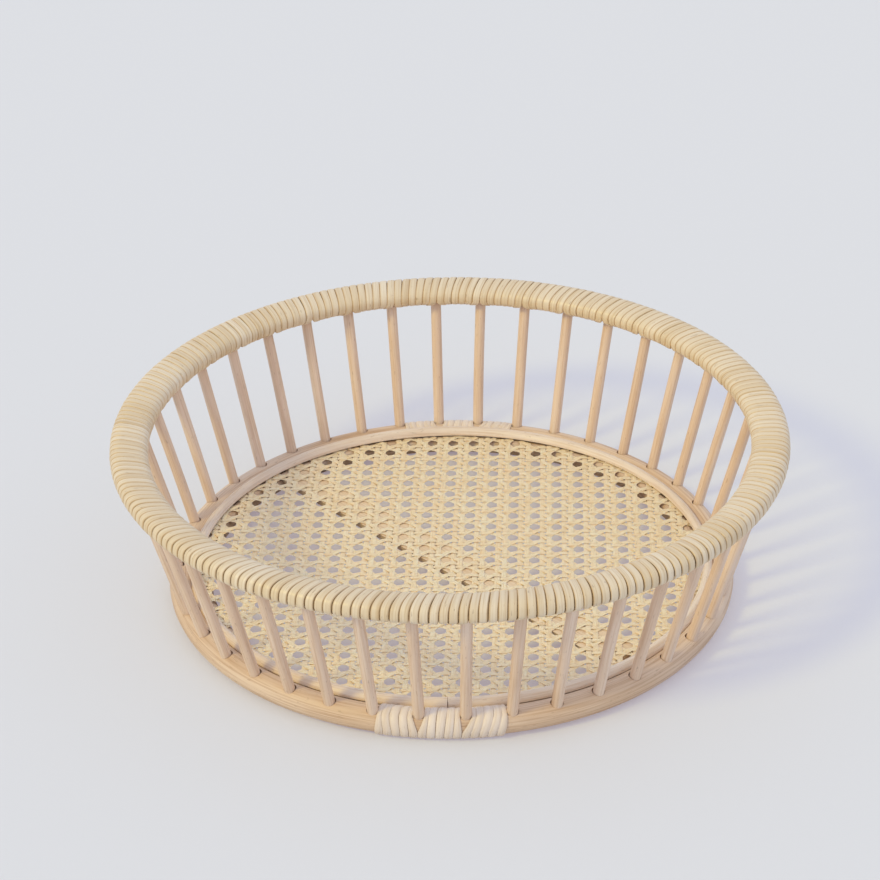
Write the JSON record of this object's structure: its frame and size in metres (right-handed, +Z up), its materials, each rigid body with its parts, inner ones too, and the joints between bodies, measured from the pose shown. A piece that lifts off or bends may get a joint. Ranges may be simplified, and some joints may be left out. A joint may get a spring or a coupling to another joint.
{
  "type": "clothes tray basket",
  "caption": "Round open tray of bent rattan with upright spindles, a cane-bound rim and a cane webbing floor, for holding clothes.",
  "frame": {"origin": "on the ground under the middle of the tray, at the bottom centre of its bounding box", "axes": "+Z up, the tray's low height; -Y towards the front, where one joint binding faces the viewer; +X to the right"},
  "size_m": [0.4806, 0.4806, 0.129],
  "materials": {
    "hoop_rattan": "smooth peeled rattan pole, satin",
    "spindle_rattan": "smooth peeled rattan rod, satin",
    "rim_pole_rattan": "bare rattan pole under the binding, matt",
    "rim_cane": "flat cane with its skin, low sheen",
    "binding_cane": "flat cane with its skin, low sheen",
    "moulding_cane": "half-round rattan, satin",
    "webbing_cane": "thin cane strands, low sheen"
  },
  "bodies": {
    "root": {"base_hoop_left": "hoop_rattan", "base_hoop_right": "hoop_rattan", "spindle_01": "spindle_rattan", "spindle_02": "spindle_rattan", "spindle_03": "spindle_rattan", "spindle_04": "spindle_rattan", "spindle_05": "spindle_rattan", "spindle_06": "spindle_rattan", "spindle_07": "spindle_rattan", "spindle_08": "spindle_rattan", "spindle_09": "spindle_rattan", "spindle_10": "spindle_rattan", "spindle_11": "spindle_rattan", "spindle_12": "spindle_rattan", "spindle_13": "spindle_rattan", "spindle_14": "spindle_rattan", "spindle_15": "spindle_rattan", "spindle_16": "spindle_rattan", "spindle_17": "spindle_rattan", "spindle_18": "spindle_rattan", "spindle_19": "spindle_rattan", "spindle_20": "spindle_rattan", "spindle_21": "spindle_rattan", "spindle_22": "spindle_rattan", "spindle_23": "spindle_rattan", "spindle_24": "spindle_rattan", "spindle_25": "spindle_rattan", "spindle_26": "spindle_rattan", "spindle_27": "spindle_rattan", "spindle_28": "spindle_rattan", "spindle_29": "spindle_rattan", "spindle_30": "spindle_rattan", "spindle_31": "spindle_rattan", "spindle_32": "spindle_rattan", "spindle_33": "spindle_rattan", "spindle_34": "spindle_rattan", "spindle_35": "spindle_rattan", "spindle_36": "spindle_rattan", "spindle_37": "spindle_rattan", "spindle_38": "spindle_rattan", "spindle_39": "spindle_rattan", "spindle_40": "spindle_rattan", "rim_pole_inner": "rim_pole_rattan", "rim_pole_outer": "rim_pole_rattan", "rim_binding": "rim_cane", "joint_binding_front": "binding_cane", "joint_binding_back": "binding_cane", "floor_support_ring": "hoop_rattan", "floor_moulding": "moulding_cane", "cane_webbing": "webbing_cane", "floor_batten": "hoop_rattan"}
  },
  "joints": []
}
